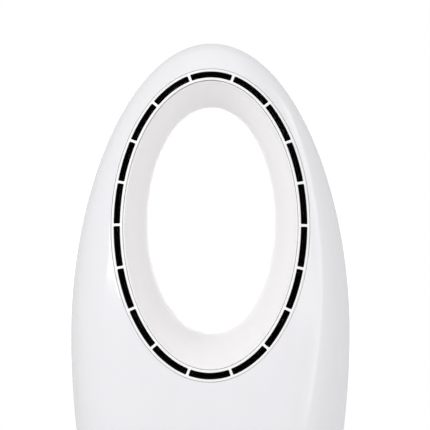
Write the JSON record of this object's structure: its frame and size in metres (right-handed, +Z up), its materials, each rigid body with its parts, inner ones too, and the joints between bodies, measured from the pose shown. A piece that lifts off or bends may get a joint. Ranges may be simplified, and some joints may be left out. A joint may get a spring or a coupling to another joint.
{
  "type": "bladeless fan",
  "caption": "Free-standing bladeless fan: a glossy egg-shaped body with an oval air opening ringed by slots, swinging from side to side on a round weighted base.",
  "frame": {"origin": "on the floor, in the middle of the round base, on the axis about which the body swings", "axes": "+Z up; the front, with the slotted ring and the controls, faces -Y; +X to the right seen from the front"},
  "size_m": [0.3, 0.23, 0.593],
  "materials": {
    "gloss_white": "high gloss",
    "satin_white": "satin",
    "warm_white": "satin",
    "grey_plastic": "fine texture",
    "dark_plastic": "fine texture",
    "black_plastic": "matt",
    "dark_lens": "high gloss",
    "black_rubber": "matt",
    "filter_mesh": "fine woven nylon mesh",
    "acetal": "smooth",
    "board_green": "lacquered",
    "impeller_grey": "satin",
    "lead_sheath": "matt",
    "ballast_iron": "blackened",
    "magnet": "ground",
    "bright_steel": "turned",
    "zinc_steel": "zinc plated",
    "copper_winding": "enamelled wire",
    "brass": "bright"
  },
  "bodies": {
    "base": {"base_shell": "gloss_white", "base_plate": "grey_plastic", "ballast_plate": "ballast_iron", "foot_1": "black_rubber", "foot_2": "black_rubber", "foot_3": "black_rubber", "foot_4": "black_rubber", "base_screw_1": "zinc_steel", "base_screw_2": "zinc_steel", "base_screw_3": "zinc_steel", "centre_post": "grey_plastic", "thrust_washer": "acetal", "post_nut": "bright_steel", "swing_gear": "acetal", "power_inlet": "black_plastic", "inlet_pin_left": "brass", "inlet_pin_right": "brass", "supply_lead": "lead_sheath"},
    "body": {"turntable": "dark_plastic", "body_floor": "grey_plastic", "floor_screw_1": "zinc_steel", "floor_screw_2": "zinc_steel", "floor_screw_3": "zinc_steel", "front_shell": "gloss_white", "rear_shell": "gloss_white", "outlet_ring": "satin_white", "nozzle_liner": "black_plastic", "duct_sleeve": "warm_white", "control_panel": "gloss_white", "display_lens": "dark_lens", "control_board": "board_green", "shell_screw_1": "zinc_steel", "shell_screw_2": "zinc_steel", "shell_screw_3": "zinc_steel", "shell_screw_4": "zinc_steel", "power_board": "board_green", "stepper_motor": "zinc_steel", "fan_deck": "grey_plastic", "isolator_1": "black_rubber", "isolator_2": "black_rubber", "isolator_3": "black_rubber", "fan_housing": "grey_plastic", "diffuser": "grey_plastic", "motor_can": "bright_steel", "stator_core": "copper_winding", "bearing_lower": "bright_steel", "bearing_upper": "bright_steel", "motor_cap": "grey_plastic"},
    "pinion": {"swing_pinion": "acetal"},
    "rotor": {"impeller": "impeller_grey", "rotor_magnet": "magnet", "motor_shaft": "bright_steel", "impeller_nut": "bright_steel"},
    "power_key": {"power_button": "satin_white"},
    "swing_key": {"swing_button": "satin_white"},
    "slower_key": {"slower_button": "satin_white"},
    "faster_key": {"faster_button": "satin_white"},
    "timer_key": {"timer_button": "satin_white"},
    "grille": {"intake_grille": "gloss_white", "intake_filter": "filter_mesh"}
  },
  "joints": [
    {"name": "oscillation", "type": "hinge", "parent": "base", "child": "body", "pos_m": [0, 0, 0.0235], "axis": [0, 0, 1], "range_deg": [-40, 40]},
    {"name": "pinion_spin", "type": "hinge", "parent": "body", "child": "pinion", "pos_m": [0, -0.05625, 0.0235], "axis": [0, 0, 1], "range_deg": [-160.5, 160.5]},
    {"name": "impeller_spin", "type": "hinge", "parent": "body", "child": "rotor", "pos_m": [0, 0, 0.15], "axis": [0, 0, 1], "continuous": true},
    {"name": "power_press", "type": "slide", "parent": "body", "child": "power_key", "axis": [0, 1, 0], "range_m": [0, 0.0008], "stiffness_N_per_m": 1200},
    {"name": "swing_press", "type": "slide", "parent": "body", "child": "swing_key", "axis": [0, 1, 0], "range_m": [0, 0.0008], "stiffness_N_per_m": 1200},
    {"name": "slower_press", "type": "slide", "parent": "body", "child": "slower_key", "axis": [0, 1, 0], "range_m": [0, 0.0008], "stiffness_N_per_m": 1200},
    {"name": "faster_press", "type": "slide", "parent": "body", "child": "faster_key", "axis": [0, 1, 0], "range_m": [0, 0.0008], "stiffness_N_per_m": 1200},
    {"name": "timer_press", "type": "slide", "parent": "body", "child": "timer_key", "axis": [0, 1, 0], "range_m": [0, 0.0008], "stiffness_N_per_m": 1200},
    {"name": "grille_pull", "type": "slide", "parent": "body", "child": "grille", "axis": [0, 1, 0], "range_m": [0, 0.06]}
  ],
  "couplings": [
    {"joint": "pinion_spin", "follows": "oscillation", "ratio": 4}
  ]
}
